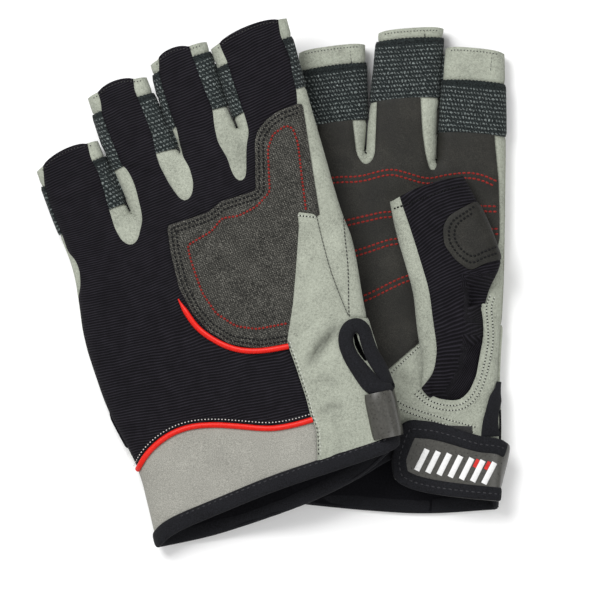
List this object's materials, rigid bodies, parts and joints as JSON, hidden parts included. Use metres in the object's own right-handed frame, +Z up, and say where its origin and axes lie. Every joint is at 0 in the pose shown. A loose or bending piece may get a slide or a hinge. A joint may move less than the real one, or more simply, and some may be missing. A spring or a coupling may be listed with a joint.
{
  "type": "sailing gloves",
  "caption": "Pair of short-finger sailing gloves laid one on the other, with padded knuckles, faced palms and a closing wrist strap.",
  "frame": {"origin": "centre of the pair's footprint, on the surface it lies on", "axes": "+Y towards the fingertips, along the longest side; +X towards the thumb side of both gloves; +Z up"},
  "size_m": [0.1894, 0.209, 0.038],
  "materials": {
    "stretch_cloth": "black ribbed stretch cloth",
    "knuckle_cloth": "charcoal flecked coated cloth",
    "red_piping": "red corded piping",
    "cuff_cloth": "plain grey neoprene-like cloth",
    "suede": "light grey synthetic suede",
    "palm_facing": "charcoal synthetic leather",
    "woven_wrap": "black and grey woven wear cloth",
    "binding_tape": "black folded knit tape",
    "strap_rubber": "charcoal moulded strap",
    "badge": "plain raised pale badge",
    "hook_tape": "hook tape",
    "loop_tape": "loop tape"
  },
  "bodies": {
    "right_glove": {"right_back_cuff": "cuff_cloth", "right_back_panel": "stretch_cloth", "right_cuff_piping": "red_piping", "right_fourchette_middle_index": "suede", "right_fourchette_pinky_ring": "suede", "right_fourchette_ring_middle": "suede", "right_index_side_gusset": "suede", "right_knuckle_patch": "knuckle_cloth", "right_loop_pad": "loop_tape", "right_palm_panel": "suede", "right_palm_reinforcement": "palm_facing", "right_patch_piping": "red_piping", "right_pinky_side_strip": "suede", "right_slit_binding": "binding_tape", "right_strap_root": "strap_rubber", "right_thumb_root": "stretch_cloth", "right_thumb_side_panel": "suede", "right_wrap_index": "woven_wrap", "right_wrap_middle": "woven_wrap", "right_wrap_pinky": "woven_wrap", "right_wrap_ring": "woven_wrap", "right_wrist_binding": "binding_tape"},
    "right_thumb": {"right_thumb_back": "stretch_cloth", "right_thumb_palm": "suede", "right_thumb_patch": "palm_facing"},
    "right_strap": {"right_hook_pad": "hook_tape", "right_strap": "strap_rubber", "right_strap_badge": "badge", "right_strap_binding": "binding_tape"},
    "left_glove": {"left_back_cuff": "cuff_cloth", "left_back_panel": "stretch_cloth", "left_cuff_piping": "red_piping", "left_fourchette_middle_index": "suede", "left_fourchette_pinky_ring": "suede", "left_fourchette_ring_middle": "suede", "left_hook_pad": "hook_tape", "left_index_side_gusset": "suede", "left_knuckle_patch": "knuckle_cloth", "left_loop_pad": "loop_tape", "left_palm_panel": "suede", "left_palm_reinforcement": "palm_facing", "left_patch_piping": "red_piping", "left_pinky_side_strip": "suede", "left_slit_binding": "binding_tape", "left_strap": "strap_rubber", "left_strap_badge": "badge", "left_strap_binding": "binding_tape", "left_strap_root": "strap_rubber", "left_thumb_back": "stretch_cloth", "left_thumb_palm": "suede", "left_thumb_patch": "palm_facing", "left_thumb_root": "stretch_cloth", "left_thumb_side_panel": "suede", "left_wrap_index": "woven_wrap", "left_wrap_middle": "woven_wrap", "left_wrap_pinky": "woven_wrap", "left_wrap_ring": "woven_wrap", "left_wrist_binding": "binding_tape"}
  },
  "joints": [
    {"name": "right_thumb_fold", "type": "hinge", "parent": "right_glove", "child": "right_thumb", "pos_m": [0.0727, -0.03902, 0.0134], "axis": [1, 0, 0], "range_deg": [0, 75]},
    {"name": "right_strap_peel", "type": "hinge", "parent": "right_glove", "child": "right_strap", "pos_m": [0.09351, -0.07411, 0.01375], "axis": [0.0402, 0.9992, 0], "range_deg": [0, 150]},
    {"name": "left_glove_lift", "type": "slide", "parent": "right_glove", "child": "left_glove", "axis": [0, 0, 1], "range_m": [0, 0.08]}
  ]
}
